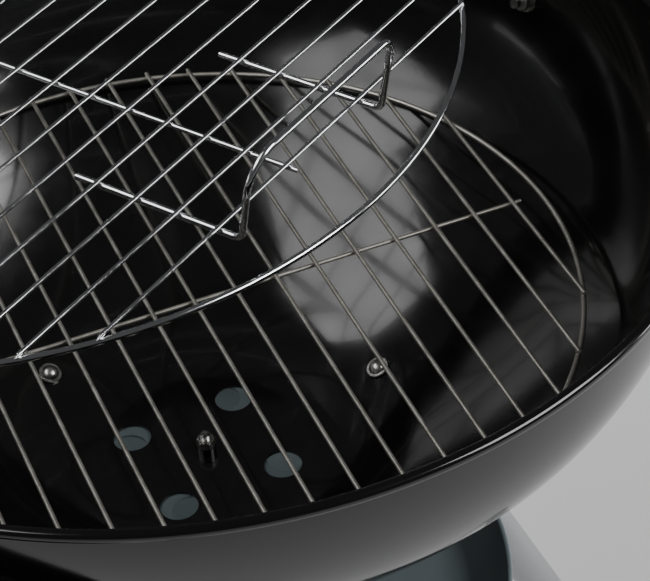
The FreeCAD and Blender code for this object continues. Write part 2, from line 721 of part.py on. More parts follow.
def lid_handle():
    """A bent rod with a pad and a threaded stud at each foot."""
    foot, _ = lid_stud_foot()
    pad_z = LID_TOP + 0.3
    feet, points = [], []
    for sign in (1, -1):
        at = V(0, sign * LID_STUD_Y, pad_z)
        feet.append(cylinder(at, V(0, 0, 1), 9.0, 3.0))
        feet.append(cylinder(V(0, at.y, foot.z - STUD_IN + 3), V(0, 0, 1), M6, pad_z - foot.z + STUD_IN))
        ends = [at + V(0, 0, 1), V(0, at.y, LID_TOP + LID_GRIP_RISE)]
        points += ends if sign > 0 else ends[::-1]
    rod = bent_wire(points, [20.0, 20.0], HANDLE_WIRE)
    return hung(fuse([rod] + feet))


def lid_grip():
    length = 100.0
    grip = tube(V(0, -length / 2, LID_TOP + LID_GRIP_RISE), V(0, 1, 0), GRIP_R, HANDLE_WIRE + FIT, length)
    return hung(grip.makeFillet(4.0, rings(grip, GRIP_R)))


def lid_washers():
    foot, _ = lid_stud_foot()
    ring = washer(V(0, foot.y, foot.z - 2.2), V(0, 0, 1), SCREW_WASHER_R, SCREW_WASHER_T)
    return [hung(ring), hung(mirror_y(ring))]


def lid_nuts():
    foot, _ = lid_stud_foot()
    body = nut(V(0, foot.y, foot.z - 2.2 - NUT_H), V(0, 0, 1))
    return [hung(body), hung(mirror_y(body))]


# --- all nodes --------------------------------------------------------------------------------------------------------
def build():
    return {
        "bowl": [bowl()],
        "right_handle": [side_handle(0)],
        "right_grip": [side_grip(0)],
        "left_handle": [side_handle(180)],
        "left_grip": [side_grip(180)],
        "handle_washers": handle_washers(),
        "handle_nuts": handle_nuts(),
        "bowl_damper": [damper()],
        "damper_bolt": [damper_bolt()],
        "damper_washer": [damper_washer()],
        "damper_spacer": [damper_spacer()],
        "damper_nut": [damper_nut()],
        "plain_leg": [drilled(leg_tube(PLAIN_LEG_END_Z), LEG_DEGS[0])],
        "wheel_leg_rear": [drilled(wheel_leg(LEG_DEGS[1]), LEG_DEGS[1])],
        "wheel_leg_front": [drilled(wheel_leg(LEG_DEGS[2]), LEG_DEGS[2])],
        "leg_seats": leg_seats(),
        "leg_plugs": leg_plugs(),
        "leg_screws": leg_screws(),
        "leg_screw_washers": leg_screw_washers(),
        "foot_cap": [foot_cap()],
        "leg_end_plugs": end_plugs(),
        "axle": [axle()],
        "axle_spacers": axle_spacers(),
        "hub_caps": hub_caps(),
        "wheel_rear": [wheel(1)],
        "tyre_rear": [tyre(1)],
        "wheel_front": [wheel(-1)],
        "tyre_front": [tyre(-1)],
        "ash_pan": [ash_pan()],
        "ash_pan_clips": pan_clips(),
        "ash_pan_clip_screws": clip_screws(),
        "charcoal_grate_ring": coal_grate_ring(),
        "charcoal_grate_rods": coal_grate_rods(),
        "charcoal_grate_cross_wire": coal_grate_cross_wire(),
        "cooking_grate_ring": cook_grate_ring(),
        "cooking_grate_rods": cook_grate_rods(),
        "cooking_grate_cross_wire": cook_grate_cross_wire(),
        "cooking_grate_handles": cook_grate_handles(),
        "lid": [lid()],
        "lid_hook": [lid_hook()],
        "lid_damper": [lid_damper()],
        "lid_damper_rivet": [lid_rivet()],
        "lid_handle": [lid_handle()],
        "lid_grip": [lid_grip()],
        "lid_handle_washers": lid_washers(),
        "lid_handle_nuts": lid_nuts(),
    }


NODES = build()
EXTENT = Part.makeCompound([s for group in NODES.values() for s in group]).optimalBoundingBox()
OFFSET = V(-round(EXTENT.Center.x, 1), -round(EXTENT.Center.y, 1), 0)

os.makedirs("parts", exist_ok=True)
for name, solids in NODES.items():
    for solid in solids:
        solid.translate(OFFSET)
    shape = solids[0] if len(solids) == 1 else Part.makeCompound(solids)
    shape.exportStep(f"parts/{name}.step")
print("offset", OFFSET, "extent", EXTENT)
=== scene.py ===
import bpy
import math
from mathutils import Matrix, Vector


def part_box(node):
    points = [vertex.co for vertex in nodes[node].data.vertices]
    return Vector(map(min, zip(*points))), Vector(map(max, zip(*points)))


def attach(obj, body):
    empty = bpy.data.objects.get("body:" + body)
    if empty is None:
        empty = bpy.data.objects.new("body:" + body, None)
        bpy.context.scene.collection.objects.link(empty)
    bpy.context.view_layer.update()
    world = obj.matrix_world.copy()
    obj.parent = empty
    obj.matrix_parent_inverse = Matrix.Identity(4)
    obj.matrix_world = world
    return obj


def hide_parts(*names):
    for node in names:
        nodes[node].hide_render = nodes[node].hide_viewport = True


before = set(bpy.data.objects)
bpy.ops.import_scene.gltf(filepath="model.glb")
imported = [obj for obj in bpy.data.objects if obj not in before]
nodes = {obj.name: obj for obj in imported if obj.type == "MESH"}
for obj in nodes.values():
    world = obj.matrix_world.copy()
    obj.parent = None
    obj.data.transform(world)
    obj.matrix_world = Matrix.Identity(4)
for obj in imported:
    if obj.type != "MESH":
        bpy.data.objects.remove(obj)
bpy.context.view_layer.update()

# === Bowl =============================================================================================
# A deep bowl pressed from steel sheet, with its edge rolled outwards into a bead and four vent holes in
# its flat floor. It is coated inside and out with black glass enamel, fired on.
MM = 0.001
WALL = 1.2 * MM
BEAD_R = 3.2 * MM
BEAD_RING_R = 282.7 * MM
bowl_low, bowl_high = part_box("bowl")
AXIS = Vector(((bowl_low.x + bowl_high.x) / 2, (bowl_low.y + bowl_high.y) / 2, 0))
UP = Vector((0, 0, 1))
RIM_Z = bowl_high.z - BEAD_R
FLOOR_Z = bowl_low.z + WALL
FLOOR_R = 60 * MM
BOWL_CURVE = [(FLOOR_R, FLOOR_Z), (125 * MM, FLOOR_Z + 17.6 * MM), (203 * MM, FLOOR_Z + 78.6 * MM),
              (238 * MM, FLOOR_Z + 114.6 * MM), (BEAD_RING_R - BEAD_R, RIM_Z)]
VENT_R = 11 * MM
VENT_RING_R = 46.2 * MM
FIRST_VENT = 45
BEAD_START, BEAD_END = -118, 180
CUTTER_REACH = 4 * MM
SHELL_SEGMENTS = 256
ENAMEL_BLACK = (0.0035, 0.0035, 0.0035)


def tangent_arcs(points, offset, steps=14):
    """Points along arcs that start flat and run smoothly from point to point, moved out by offset."""
    line, heading = [], 0.0
    for a, b in zip(points, points[1:]):
        chord = math.atan2(b[1] - a[1], b[0] - a[0])
        radius = math.dist(a, b) / (2 * math.sin(chord - heading))
        centre = (a[0] - radius * math.sin(heading), a[1] + radius * math.cos(heading))
        for i in range(steps + 1):
            t = heading + 2 * (chord - heading) * i / steps
            reach = radius + offset
            if i or not line:
                line.append((centre[0] + reach * math.sin(t), centre[1] - reach * math.cos(t)))
        heading = 2 * chord - heading
    return line


def facing(place, direction):
    """The matrix that stands +Z of a shape along a direction, at a place."""
    return Matrix.Translation(place) @ Vector(direction).to_track_quat("Z", "Y").to_matrix().to_4x4()


def linked(name, mesh, finish):
    piece = bpy.data.objects.new(name, mesh)
    bpy.context.scene.collection.objects.link(piece)
    mesh.materials.clear()
    mesh.materials.append(finish)
    return piece


def smoothed(mesh, degrees=38):
    mesh.shade_smooth()
    mesh.set_sharp_from_angle(angle=math.radians(degrees))


def skin(name, loops, matrix, finish, ends="capped"):
    """A mesh through loops of equally many points: its ends capped, or joined to each other."""
    count = len(loops[0])
    points = [matrix @ Vector(p) for loop in loops for p in loop]
    faces = []
    pairs = len(loops) if ends == "joined" else len(loops) - 1
    for i in range(pairs):
        a, b = i * count, (i + 1) % len(loops) * count
        faces += [(a + j, a + (j + 1) % count, b + (j + 1) % count, b + j) for j in range(count)]
    if ends == "capped":
        faces.append(tuple(reversed(range(count))))
        faces.append(tuple(range((len(loops) - 1) * count, len(loops) * count)))
    mesh = bpy.data.meshes.new(name)
    mesh.from_pydata(points, [], faces)
    smoothed(mesh)
    return linked(name, mesh, finish)


def lathe(name, outline, matrix, finish, ends="capped", segments=96):
    """A turned shape: the outline (radius, height) spun round Z, run from bottom to top outside."""
    angles = [2 * math.pi * j / segments for j in range(segments)]
    loops = [[(r * math.cos(a), r * math.sin(a), z) for a in angles] for r, z in outline]
    return skin(name, loops, matrix, finish, ends)


def baked(piece):
    """Turns the piece's modifiers into plain mesh."""
    graph = bpy.context.evaluated_depsgraph_get()
    mesh = bpy.data.meshes.new_from_object(piece.evaluated_get(graph))
    piece.modifiers.clear()
    piece.data = mesh
    smoothed(mesh)
    return piece


def bored(piece, cutters):
    """Takes the cutters out of the piece."""
    for cutter in cutters:
        cut = piece.modifiers.new("hole", "BOOLEAN")
        cut.object, cut.operation, cut.solver = cutter, "DIFFERENCE", "EXACT"
    baked(piece)
    for cutter in cutters:
        bpy.data.objects.remove(cutter)
    return piece


def surface(name, colour, roughness, metallic=0.0, coat=0.0, *, swing, tint, patch, grain, depth, wear,
            wear_amount):
    """A finish with cloudy patches in colour and gloss, a fine grain, and worn or dirty spots."""
    made = bpy.data.materials.new(name)
    made.use_nodes = True
    made.diffuse_color = (*colour, 1)
    tree = made.node_tree
    add, link = tree.nodes.new, tree.links.new
    shader = tree.nodes["Principled BSDF"]
    shader.inputs["Metallic"].default_value = metallic
    shader.inputs["Coat Weight"].default_value = coat
    shader.inputs["Coat Roughness"].default_value = 0.05
    place = add("ShaderNodeTexCoord").outputs["Object"]

    def noise(scale, detail, low, high):
        cloud = add("ShaderNodeTexNoise")
        cloud.inputs["Scale"].default_value = scale
        cloud.inputs["Detail"].default_value = detail
        link(place, cloud.inputs["Vector"])
        spread = add("ShaderNodeMapRange")
        spread.inputs["From Min"].default_value = 0.3
        spread.inputs["From Max"].default_value = 0.7
        spread.inputs["To Min"].default_value = low
        spread.inputs["To Max"].default_value = high
        link(cloud.outputs["Fac"], spread.inputs["Value"])
        return spread.outputs["Result"]

    def mixed(kind, amount, a, b):
        mix = add("ShaderNodeMix")
        mix.data_type = kind
        sockets = [s for s in mix.inputs if s.enabled]
        for socket, value in zip(sockets, (amount, a, b)):
            if isinstance(value, bpy.types.NodeSocket):
                link(value, socket)
            else:
                socket.default_value = value
        return [s for s in mix.outputs if s.enabled][0]

    shade = mixed("RGBA", noise(patch, 5.0, 0.0, 1.0), (*colour, 1), (*tint, 1))
    gloss = noise(patch * 1.7, 6.0, roughness * (1 - swing), roughness * (1 + swing))
    spots = add("ShaderNodeTexNoise")
    spots.inputs["Scale"].default_value = patch * 3.1
    spots.inputs["Detail"].default_value = 8.0
    spots.inputs["Roughness"].default_value = 0.7
    link(place, spots.inputs["Vector"])
    keep = add("ShaderNodeMapRange")
    keep.inputs["From Min"].default_value = 0.58
    keep.inputs["From Max"].default_value = 0.74
    keep.inputs["To Max"].default_value = wear_amount
    link(spots.outputs["Fac"], keep.inputs["Value"])
    shade = mixed("RGBA", keep.outputs["Result"], shade, (*wear, 1))
    gloss = mixed("FLOAT", keep.outputs["Result"], gloss, min(0.9, roughness + 0.35))
    link(shade, shader.inputs["Base Color"])
    link(gloss, shader.inputs["Roughness"])
    bump = add("ShaderNodeBump")
    bump.inputs["Strength"].default_value = 0.35
    bump.inputs["Distance"].default_value = depth * MM
    link(noise(grain, 3.0, 0.0, 1.0), bump.inputs["Height"])
    link(bump.outputs["Normal"], shader.inputs["Normal"])
    return made


def bead(centre_r, centre_z, start, end, steps=26):
    """The rolled edge's round, from one angle to another."""
    angles = [math.radians(start + (end - start) * i / steps) for i in range(steps + 1)]
    return [(centre_r + BEAD_R * math.cos(a), centre_z + BEAD_R * math.sin(a)) for a in angles]


def pressed_shell(name, curve, matrix, vent_r, vent_ring_r, first_vent, finish):
    """Sheet of even thickness outside the curve, its edge rolled, with four vent holes round its middle."""
    inside, outside = tangent_arcs(curve, 0), tangent_arcs(curve, WALL)
    outline = outside + bead(BEAD_RING_R, curve[-1][1], BEAD_START, BEAD_END) + inside[::-1][1:]
    piece = lathe(name, outline, matrix, finish, segments=SHELL_SEGMENTS)
    floor = curve[0][1]
    cutters = []
    for i in range(4):
        a = math.radians(first_vent + 90 * i)
        at = matrix @ Vector((vent_ring_r * math.cos(a), vent_ring_r * math.sin(a), floor))
        along = matrix.to_3x3() @ UP
        hole = [(vent_r, -CUTTER_REACH), (vent_r, CUTTER_REACH)]
        cutters.append(lathe("cutter", hole, facing(at, along), finish, segments=48))
    return bored(piece, cutters)


enamel = surface("black glass enamel", ENAMEL_BLACK, 0.13, coat=0.25, swing=0.35, patch=14.0, grain=170.0,
                 depth=0.018, tint=(0.0045, 0.0045, 0.0043), wear=(0.03, 0.028, 0.025), wear_amount=0.08)
bowl = pressed_shell("bowl_shell", BOWL_CURVE, Matrix.Translation(AXIS), VENT_R, VENT_RING_R, FIRST_VENT,
                     enamel)
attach(bowl, "grill")
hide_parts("bowl")

# === Air damper under the bowl ========================================================================
# A flat steel disc with four holes like the bowl's and a long lever whose end is bent down to a finger
# tab. It turns on a bolt through the bowl's floor to let in more or less air. It has the ash pan's grey
# paint, darkened as painted shade for the shadow it lies in under the bowl.
# A darker copy of the ash pan's grey paint, colour and patches alike: painted shade for the damper's shadow
# under the bowl.
grey_paint_with_painted_shade = surface("grey stove paint darkened as painted shade", (0.095, 0.120, 0.128), 0.40, coat=0.1, swing=0.25, patch=22.0,
                     grain=700.0, depth=0.03, tint=(0.085, 0.108, 0.116), wear=(0.20, 0.20, 0.19),
                     wear_amount=0.35)


def finished(node, finish):
    """Gives a CAD node its finish."""
    mesh = nodes[node].data
    mesh.materials.clear()
    mesh.materials.append(finish)


# The damper gets the darkened grey, which is painted shade.
finished("bowl_damper", grey_paint_with_painted_shade)

# === Pivot bolt, washer, spacer and nut of the damper =================================================
# A zinc-plated M6 bolt comes up through the damper and the floor, with a washer below. Inside the bowl a
# black spacer and a hexagon nut hold it, and its threaded tip stands above the nut.
THREAD_R = 3.0 * MM
THREAD_PITCH = 1.0 * MM
NUT_FLATS = 10 * MM
NUT_H = 5 * MM
NUT_SIDES = 48
BOLT_HEAD_R = 5.2 * MM
WASHER_R = 6.9 * MM
WASHER_T = 1.4 * MM
zinc = surface("zinc plate", (0.56, 0.56, 0.54), 0.30, metallic=1.0, swing=0.35, patch=120.0, grain=900.0,
               depth=0.02, tint=(0.44, 0.43, 0.40), wear=(0.20, 0.19, 0.17), wear_amount=0.5)


class Recipe:
    """A short way to write down a Geometry Nodes tree with named sizes."""

    def __init__(self, name):
        self.tree = bpy.data.node_groups.new(name, "GeometryNodeTree")
        face = self.tree.interface
        face.new_socket("Geometry", in_out="INPUT", socket_type="NodeSocketGeometry")
        face.new_socket("Geometry", in_out="OUTPUT", socket_type="NodeSocketGeometry")
        self.start = self.tree.nodes.new("NodeGroupInput")
        self.end = self.tree.nodes.new("NodeGroupOutput")

    def size(self, name, kind="Float"):
        self.tree.interface.new_socket(name, in_out="INPUT", socket_type="NodeSocket" + kind)
        return self.start.outputs[name]

    def add(self, kind, inputs=(), out=0, **settings):
        node = self.tree.nodes.new(kind)
        for key, value in settings.items():
            setattr(node, key, value)
        for index, value in dict(inputs).items():
            if isinstance(value, bpy.types.NodeSocket):
                self.tree.links.new(value, node.inputs[index])
            else:
                node.inputs[index].default_value = value
        return node.outputs[out]

    def maths(self, operation, a, b=0.0):
        return self.add("ShaderNodeMath", {0: a, 1: b}, operation=operation)

    def vector(self, x, y, z):
        return self.add("ShaderNodeCombineXYZ", {0: x, 1: y, 2: z})

    def close(self, geometry):
        real = self.add("GeometryNodeRealizeInstances", {0: geometry})
        coated = self.add("GeometryNodeSetMaterial", {0: real, "Material": self.size("Finish", "Material")})
        self.tree.links.new(coated, self.end.inputs[0])
        return self


def cooked(name, recipe, mesh=None, **sizes):
    """Runs a recipe on a mesh, with its sizes, and keeps the result as a plain mesh."""
    piece = bpy.data.objects.new(name, mesh or bpy.data.meshes.new(name))
    bpy.context.scene.collection.objects.link(piece)
    step = piece.modifiers.new("recipe", "NODES")
    step.node_group = recipe.tree
    for item in recipe.tree.interface.items_tree:
        if item.in_out == "INPUT" and item.name in sizes:
            step[item.identifier] = sizes[item.name]
    return baked(piece)


def set_out_recipe():
    """One pattern piece at each point, its +Z along the point's own direction."""
    recipe = Recipe("set out")
    points = recipe.start.outputs["Geometry"]
    pattern = recipe.add("GeometryNodeObjectInfo", {0: recipe.size("Pattern", "Object")}, out="Geometry")
    along = recipe.add("GeometryNodeInputNamedAttribute", {0: "along"}, data_type="FLOAT_VECTOR")
    turn = recipe.add("FunctionNodeAlignRotationToVector", {"Vector": along}, axis="Z")
    spread = recipe.add("GeometryNodeInstanceOnPoints", {"Points": points, "Instance": pattern,
                                                         "Rotation": turn})
    return recipe.close(spread)


SET_OUT = set_out_recipe()


def set_out(name, pattern, places, finish):
    """The pattern piece at each (place, direction)."""
    mesh = bpy.data.meshes.new(name)
    mesh.from_pydata([p for p, _ in places], [], [])
    along = mesh.attributes.new("along", "FLOAT_VECTOR", "POINT")
    for slot, (_, direction) in zip(along.data, places):
        slot.vector = direction
    piece = cooked(name, SET_OUT, mesh, Pattern=pattern, Finish=finish)
    bpy.data.objects.remove(pattern)
    return piece


def hex_nut():
    """A hexagon nut with chamfered corners, standing on the origin."""
    angles = [2 * math.pi * j / NUT_SIDES for j in range(NUT_SIDES)]

    def ring(z, limit):
        points = []
        for a in angles:
            corner = (a + math.pi / 6) % (math.pi / 3) - math.pi / 6
            r = min(NUT_FLATS / 2 / math.cos(corner), limit)
            points.append((r * math.cos(a), r * math.sin(a), z))
        return points

    def hole(r, z):
        return [(r * math.cos(a), r * math.sin(a), z) for a in angles]

    slope = 0.7 * MM
    bore = THREAD_R * 0.92
    mouth = bore * 1.14
    loops = [hole(bore, slope), hole(mouth, 0), ring(0, NUT_FLATS * 0.5), ring(slope, NUT_FLATS),
             ring(NUT_H - slope, NUT_FLATS), ring(NUT_H, NUT_FLATS * 0.5), hole(mouth, NUT_H),
             hole(bore, NUT_H - slope)]
    return skin("nut", loops, Matrix.Identity(4), zinc, ends="joined")


def flat_washer(outer, inner, height):
    """A flat ring with slightly rounded edges, standing on the origin."""
    round_off = 0.25 * MM
    outline = [(inner, 0), (outer - round_off, 0), (outer, round_off), (outer, height - round_off),
               (outer - round_off, height), (inner, height)]
    return lathe("washer", outline, Matrix.Identity(4), zinc, ends="joined", segments=48)


def thread(start, end):
    """The zigzag outline of a thread between two heights."""
    turns = int((end - start) / THREAD_PITCH)
    root = THREAD_R * 0.86
    line = []
    for i in range(turns):
        z = start + i * THREAD_PITCH
        line += [(root, z), (THREAD_R, z + 0.4 * THREAD_PITCH), (THREAD_R, z + 0.6 * THREAD_PITCH)]
    return line + [(root, start + turns * THREAD_PITCH)]


def replace(piece, body, slot, *replaced):
    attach(piece, body)
    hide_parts(*replaced)
    return piece


bolt_low, bolt_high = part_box("damper_bolt")
washer_low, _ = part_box("damper_washer")
_, spacer_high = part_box("damper_spacer")
stem = [(0.6 * MM, bolt_low.z), (BOLT_HEAD_R - 0.2 * MM, bolt_low.z), (BOLT_HEAD_R, washer_low.z),
        (THREAD_R, washer_low.z)]
stem += thread(FLOOR_Z, bolt_high.z - 0.8 * MM) + [(THREAD_R * 0.7, bolt_high.z), (0.3 * MM, bolt_high.z)]
pivot = lathe("pivot_bolt", stem, Matrix.Translation(AXIS), zinc, segments=48)
replace(pivot, "grill", "zinc_fasteners", "damper_bolt")
nut = set_out("pivot_nut", hex_nut(), [(Vector((AXIS.x, AXIS.y, spacer_high.z)), UP)], zinc)
replace(nut, "grill", "zinc_fasteners", "damper_nut")
finished("damper_washer", zinc)
finished("damper_spacer", enamel)

# === Legs =============================================================================================
# Three straight steel tubes, each screwed from inside the bowl into a plug in its upper end, through a
# pressed seat that fits the bowl's round wall. The two with the axle end in plastic stoppers.
LEG_SCREW_R = 112.5 * MM
LEG_DEGREES = (0, 120, 240)
WASHER_LIFT = 0.25 * MM
SCREW_HEAD_R, SCREW_HEAD_H = 5.3 * MM, 3.4 * MM
SCREW_LENGTH, SCREW_NECK = 30 * MM, 4 * MM
tube_paint = surface("satin leg metal", (0.50, 0.51, 0.52), 0.30, metallic=0.85, swing=0.3, patch=18.0,
                     grain=1200.0, depth=0.02, tint=(0.42, 0.43, 0.44), wear=(0.25, 0.24, 0.23),
                     wear_amount=0.4)
plastic = surface("black nylon", (0.018, 0.018, 0.019), 0.42, swing=0.2, patch=60.0, grain=1500.0,
                  depth=0.04, tint=(0.026, 0.026, 0.027), wear=(0.08, 0.08, 0.078), wear_amount=0.25)


def wall_at(curve, radius=None, height=None):
    """(radius, height, slope) where the curve passes a radius or a height."""
    line = tangent_arcs(curve, 0, steps=60)
    which, value = (0, radius) if height is None else (1, height)
    for a, b in zip(line, line[1:]):
        if a[which] <= value <= b[which]:
            part = (value - a[which]) / (b[which] - a[which])
            slope = math.atan2(b[1] - a[1], b[0] - a[0])
            return a[0] + (b[0] - a[0]) * part, a[1] + (b[1] - a[1]) * part, slope


def wall_places(curve, degrees, lift, **where):
    """(place, inward direction) on the bowl's inside, lifted off the wall."""
    r, z, slope = wall_at(curve, **where)
    places = []
    for d in degrees:
        a = math.radians(d)
        inward = Vector((-math.sin(slope) * math.cos(a), -math.sin(slope) * math.sin(a), math.cos(slope)))
        places.append((AXIS + Vector((r * math.cos(a), r * math.sin(a), z)) + inward * lift, inward))
    return places


def dome_screw():
    """A screw with a domed head, its head's underside on the origin and its shank below."""
    ball = (SCREW_HEAD_R ** 2 + SCREW_HEAD_H ** 2) / (2 * SCREW_HEAD_H)
    widest = math.asin(SCREW_HEAD_R / ball)
    angles = [widest * (1 - i / 10) for i in range(10)]
    dome = [(ball * math.sin(a), SCREW_HEAD_H - ball * (1 - math.cos(a))) for a in angles]
    core = THREAD_R * 0.9
    outline = [(0.3 * MM, -SCREW_LENGTH), (core, -SCREW_LENGTH), (core, -SCREW_NECK), (THREAD_R, -SCREW_NECK),
               (THREAD_R, 0), (SCREW_HEAD_R - 0.3 * MM, 0)] + dome + [(0.3 * MM, SCREW_HEAD_H)]
    return lathe("screw", outline, Matrix.Identity(4), zinc, segments=48)


leg_places = wall_places(BOWL_CURVE, LEG_DEGREES, WASHER_LIFT, radius=LEG_SCREW_R)
washers = set_out("leg_screw_rings", flat_washer(WASHER_R, THREAD_R, WASHER_T), leg_places, zinc)
replace(washers, "grill", "zinc_fasteners", "leg_screw_washers")
head_places = wall_places(BOWL_CURVE, LEG_DEGREES, WASHER_LIFT + WASHER_T, radius=LEG_SCREW_R)
screws = set_out("leg_dome_screws", dome_screw(), head_places, zinc)
replace(screws, "grill", "zinc_fasteners", "leg_screws")
for node in ("plain_leg", "wheel_leg_rear", "wheel_leg_front"):
    finished(node, tube_paint)
finished("leg_seats", enamel)
finished("leg_plugs", plastic)
finished("leg_end_plugs", plastic)

# === Foot cap =========================================================================================
# A moulded nylon sleeve pushed over the end of the leg without a wheel, cut level with the ground.
finished("foot_cap", plastic)

# === Axle, spacers and hub caps =======================================================================
# A straight zinc-plated steel rod through both wheel legs. Plastic sleeves space the wheels from the
# legs, and pressed caps hold them on.
finished("axle", zinc)
finished("axle_spacers", plastic)
finished("hub_caps", zinc)

# === Wheels ===========================================================================================
# Two moulded nylon wheels with five round windows between stiffening ribs, which turn freely on the
# axle, each with a rubber tyre that has rows of small tread blocks.
RIB_COUNT = 5
RIB_T, RIB_W = 3 * MM, 18 * MM
HUB_R, WHEEL_RIM_R = 14.5 * MM, 57 * MM
TREAD_COUNT = 44
TREAD_DEPTH = 1.4 * MM
TREAD_BLOCK = (1.9 * TREAD_DEPTH, 7.4 * MM, 6.6 * MM)
TREAD_ROWS = (-9 * MM, 0.0, 9 * MM)
TYRE_SHOULDER = 5 * MM
rubber = surface("tyre rubber", (0.020, 0.020, 0.020), 0.72, swing=0.12, patch=50.0, grain=1300.0,
                 depth=0.08, tint=(0.032, 0.031, 0.030), wear=(0.10, 0.095, 0.085), wear_amount=0.4)


def blocks_recipe():
    """Equal blocks standing round a circle about Z, their X outwards."""
    recipe = Recipe("blocks round a wheel")
    count, radius = recipe.size("Count", "Int"), recipe.size("Radius")
    block = recipe.add("GeometryNodeMeshCube", {"Size": recipe.size("Block", "Vector")})
    height, offset = recipe.size("Height"), recipe.size("Turn")
    points = recipe.add("GeometryNodePoints", {0: count})
    index = recipe.add("GeometryNodeInputIndex")
    share = recipe.maths("DIVIDE", index, count)
    angle = recipe.maths("ADD", recipe.maths("MULTIPLY", share, 2 * math.pi), offset)
    x = recipe.maths("MULTIPLY", recipe.maths("COSINE", angle), radius)
    y = recipe.maths("MULTIPLY", recipe.maths("SINE", angle), radius)
    placed = recipe.add("GeometryNodeSetPosition", {0: points, "Position": recipe.vector(x, y, height)})
    spread = recipe.add("GeometryNodeInstanceOnPoints", {"Points": placed, "Instance": block,
                                                         "Rotation": recipe.vector(0.0, 0.0, angle)})
    return recipe.close(spread)


BLOCKS = blocks_recipe()


def moved(piece, matrix):
    piece.data.transform(matrix)
    return piece


def joined(name, parts):
    """Several pieces of one finish as one piece."""
    with bpy.context.temp_override(active_object=parts[0], selected_editable_objects=parts,
                                   selected_objects=parts):
        bpy.ops.object.join()
    parts[0].name = name
    return parts[0]


def tyre_outline(outer, inner, half):
    """A tyre's cut, with a small step beside its foot and rounded shoulders."""
    arc = [math.radians(90 * i / 8) for i in range(9)]
    edge = TYRE_SHOULDER
    low = [(outer - edge + edge * math.sin(a), -half + edge - edge * math.cos(a)) for a in arc]
    high = [(r, -z) for r, z in reversed(low)]
    return [(inner, -half), (inner + 3 * MM, -half), (inner + 4 * MM, -half + 0.8 * MM),
            (inner + 6 * MM, -half + 0.8 * MM)] + low + high + [
            (inner + 6 * MM, half - 0.8 * MM), (inner + 4 * MM, half - 0.8 * MM), (inner + 3 * MM, half),
            (inner, half)]


for which in ("rear", "front"):
    low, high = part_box("tyre_" + which)
    hub = (low + high) / 2
    outer, half = (high.z - low.z) / 2, (high.y - low.y) / 2
    rim_low, rim_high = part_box("wheel_" + which)
    inner = (rim_high.z - rim_low.z) / 2
    lay = facing(hub, (0, 1, 0))
    carcass = lathe("tyre_body", tyre_outline(outer - TREAD_DEPTH, inner, half), lay, rubber, ends="joined",
                    segments=128)
    rows = []
    for k, height in enumerate(TREAD_ROWS):
        rows.append(moved(cooked("tread", BLOCKS, Count=TREAD_COUNT, Radius=outer - TREAD_DEPTH,
                                 Block=TREAD_BLOCK, Height=height,
                                 Turn=math.pi / TREAD_COUNT * (k % 2), Finish=rubber), lay))
    replace(joined("tyre_with_tread_" + which, [carcass] + rows), "wheel_" + which, "black_rubber",
            "tyre_" + which)
    ribs = cooked("ribs", BLOCKS, Count=RIB_COUNT, Radius=(HUB_R + WHEEL_RIM_R) / 2,
                  Block=(WHEEL_RIM_R - HUB_R, RIB_T, RIB_W), Height=0.0, Turn=math.pi / RIB_COUNT * 0.5,
                  Finish=plastic)
    ribs = moved(ribs, lay)
    ribs.name = "wheel_ribs_" + which
    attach(ribs, "wheel_" + which)
    finished("wheel_" + which, plastic)

# === Ash pan ==========================================================================================
# A shallow dish pressed from steel sheet with a rolled edge and three notches that pass the legs. It is
# painted grey and lies on three steel clips, each held by a small screw on the inside of a leg.
PAINT_GREY = (0.150, 0.185, 0.196)
paint = surface("grey stove paint", PAINT_GREY, 0.36, coat=0.15, swing=0.25, patch=22.0, grain=700.0,
                depth=0.03, tint=(0.135, 0.168, 0.180), wear=(0.24, 0.24, 0.23), wear_amount=0.35)
PAN_WALL = 1.0 * MM
PAN_EDGE_R = 1.8 * MM
PAN_FLOOR_R = 150 * MM
NOTCH_IN = 140 * MM
NOTCH_HALF = 17 * MM
NOTCH_REACH = 60 * MM
PAN_BEND = 6 * MM
PAN_BEND_LOW, PAN_BEND_HIGH = 0.5 * MM, 2.4 * MM
pan_low, pan_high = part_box("ash_pan")
pan_r = (pan_high.y - pan_low.y) / 2
edge_z, edge_r = pan_high.z - PAN_EDGE_R, pan_r - PAN_EDGE_R
roll = [(edge_r + PAN_EDGE_R * math.cos(math.radians(t)), edge_z + PAN_EDGE_R * math.sin(math.radians(t)))
        for t in range(-110, 176, 15)]
pan_outline = [(PAN_FLOOR_R - PAN_BEND, pan_low.z),
               (PAN_FLOOR_R - 0.3 * PAN_BEND, pan_low.z + PAN_BEND_LOW),
               (PAN_FLOOR_R + 0.3 * PAN_BEND, pan_low.z + PAN_BEND_HIGH)] + roll + [
               (PAN_FLOOR_R + 0.3 * PAN_BEND - PAN_WALL, pan_low.z + PAN_BEND_HIGH + PAN_WALL),
               (PAN_FLOOR_R - 0.5 * PAN_BEND, pan_low.z + 0.7 * MM + PAN_WALL),
               (PAN_FLOOR_R - 1.2 * PAN_BEND, pan_low.z + PAN_WALL)]
pan = lathe("ash_pan_dish", pan_outline, Matrix.Translation(AXIS), paint, segments=192)


def notch(degrees):
    """A slot with a round inner end, open outwards."""
    arc = [math.radians(90 + 180 * i / 16) for i in range(17)]
    middle = NOTCH_IN + NOTCH_HALF
    plan = [(middle + NOTCH_HALF * math.cos(a), NOTCH_HALF * math.sin(a)) for a in arc]
    plan += [(middle + NOTCH_REACH, -NOTCH_HALF), (middle + NOTCH_REACH, NOTCH_HALF)]
    loops = [[(x, y, z) for x, y in plan] for z in (pan_low.z - 5 * MM, pan_high.z + 5 * MM)]
    turned = Matrix.Translation(AXIS) @ Matrix.Rotation(math.radians(degrees), 4, "Z")
    return skin("cutter", loops, turned, paint)


replace(bored(pan, [notch(d) for d in LEG_DEGREES]), "ash_pan", "grey_paint", "ash_pan")
finished("ash_pan_clips", zinc)
finished("ash_pan_clip_screws", zinc)

